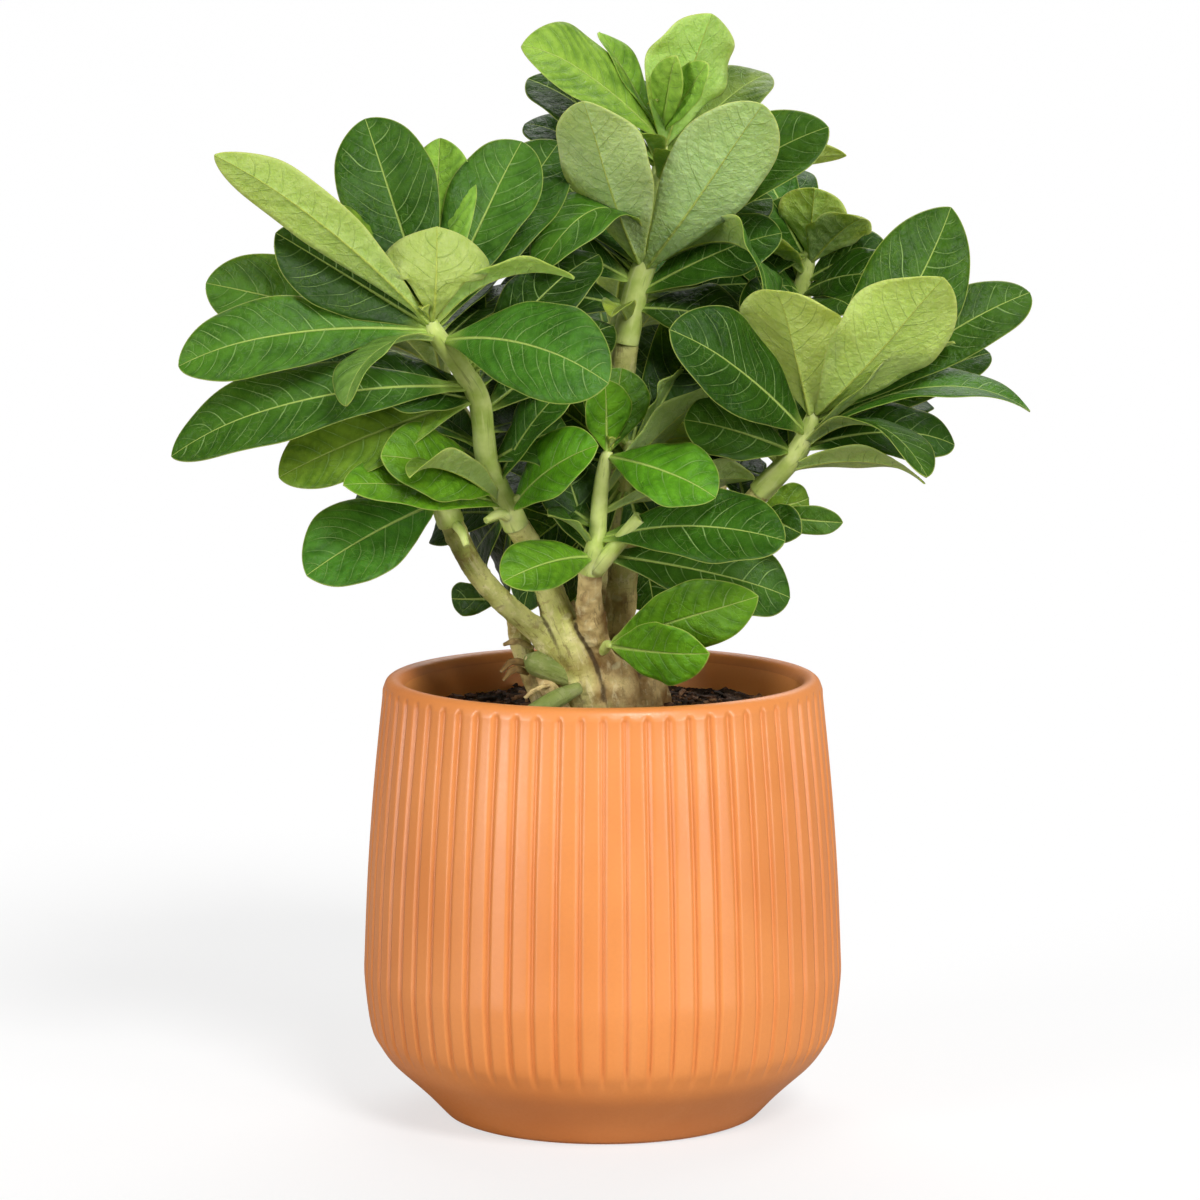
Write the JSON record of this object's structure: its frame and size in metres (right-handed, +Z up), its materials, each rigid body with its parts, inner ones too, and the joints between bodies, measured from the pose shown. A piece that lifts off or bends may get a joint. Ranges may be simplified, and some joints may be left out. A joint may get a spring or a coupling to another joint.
{
  "type": "potted desert rose plant",
  "caption": "Round terracotta pot with fine upright grooves, filled with soil, holding a shrubby desert rose with a swollen woody base and rosettes of spoon-shaped leaves.",
  "frame": {"origin": "centre of the flat face under the pot, on the surface that it stands on", "axes": "+Z up; -Y is the front that faces the camera; +X is to the right as seen from the front"},
  "size_m": [0.3142, 0.2676, 0.4155],
  "materials": {
    "terracotta": "smooth matt fired clay in a warm orange",
    "soil": "loose dark brown potting mix with bark chips",
    "bark": "thin satin bark, pale grey-green on the young branches and brown at the base",
    "leaf": "glossy dark green above with pale veins, dull light green below"
  },
  "bodies": {
    "root": {"pot": "terracotta", "soil": "soil", "woody_body": "bark", "shoot_left": "leaf", "shoot_low_left": "leaf", "shoot_behind_left": "leaf", "shoot_centre": "leaf", "shoot_inner": "leaf", "shoot_low_right": "leaf", "shoot_right": "leaf", "shoot_right_low": "leaf", "shoot_top": "leaf", "shoot_right_back": "leaf", "shoot_left_back": "leaf", "shoot_middle_back": "leaf"}
  },
  "joints": []
}
